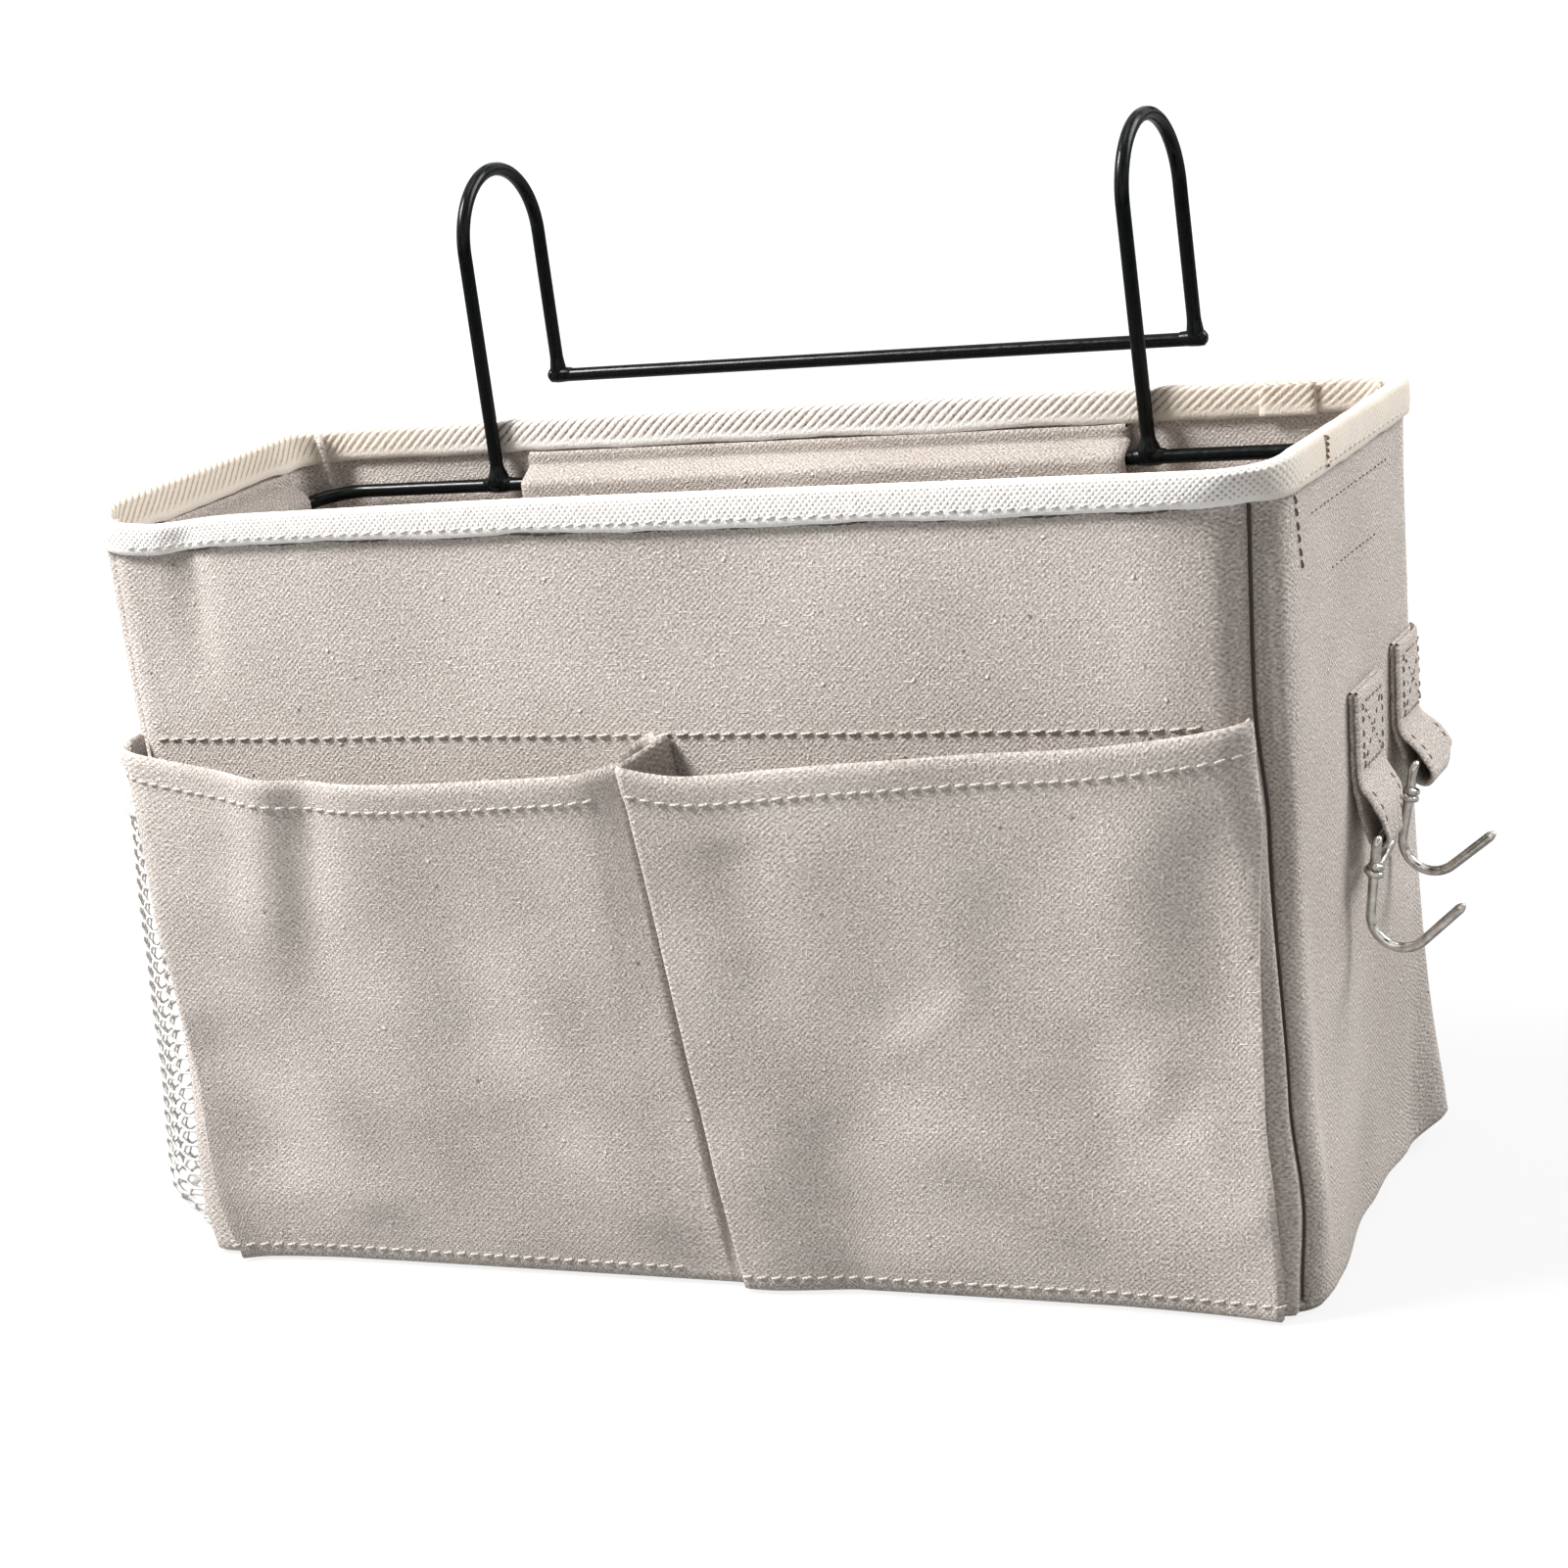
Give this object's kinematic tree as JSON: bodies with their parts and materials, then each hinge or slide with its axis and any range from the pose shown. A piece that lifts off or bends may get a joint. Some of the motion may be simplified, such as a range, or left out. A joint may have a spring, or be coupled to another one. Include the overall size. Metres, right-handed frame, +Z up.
{
  "type": "bedside caddy",
  "caption": "Canvas bedside caddy on a wire frame with rail hooks, pleated front pockets, a net side pocket and canvas tabs with swinging J-hooks",
  "frame": {"origin": "middle of the base, on the surface the bag stands on", "axes": "X to the right along the front, Y to the back, Z up; the front pockets face -Y"},
  "size_m": [0.2912, 0.1332, 0.215],
  "materials": {
    "canvas": "slubby natural canvas",
    "cotton_tape": "twill tape",
    "net": "knitted net",
    "black_wire": "satin black coating",
    "nickel_wire": "nickel plate"
  },
  "bodies": {
    "caddy": {"front_panel": "canvas", "back_panel": "canvas", "left_side_panel": "canvas", "right_side_panel": "canvas", "bottom_panel": "canvas", "front_facing": "canvas", "rim_tape": "cotton_tape", "front_pockets": "canvas", "mesh_pocket": "net", "mesh_binding": "cotton_tape", "frame_wire": "black_wire", "left_hook": "black_wire", "right_hook": "black_wire", "rear_bar": "black_wire", "back_sleeve": "canvas", "left_sleeve": "canvas", "right_sleeve": "canvas", "front_tab": "canvas", "rear_tab": "canvas"},
    "front_loop": {"front_tab_loop": "canvas"},
    "front_hook": {"front_j_hook": "nickel_wire"},
    "rear_loop": {"rear_tab_loop": "canvas"},
    "rear_hook": {"rear_j_hook": "nickel_wire"}
  },
  "joints": [
    {"name": "front_tab_flex", "type": "hinge", "parent": "caddy", "child": "front_loop", "pos_m": [0.12598, 0.0038, 0.091], "axis": [0.0399, -0.9992, 0], "range_deg": [-2, 30]},
    {"name": "front_hook_swing", "type": "hinge", "parent": "front_loop", "child": "front_hook", "pos_m": [0.12954, 0.00394, 0.08006], "axis": [0.0399, -0.9992, 0], "range_deg": [-3, 60]},
    {"name": "rear_tab_flex", "type": "hinge", "parent": "caddy", "child": "rear_loop", "pos_m": [0.12494, 0.033, 0.093], "axis": [0.0397, -0.9992, 0], "range_deg": [-1, 20]},
    {"name": "rear_hook_swing", "type": "hinge", "parent": "rear_loop", "child": "rear_hook", "pos_m": [0.12846, 0.03314, 0.08638], "axis": [0.0397, -0.9992, 0], "range_deg": [-1, 60]}
  ]
}
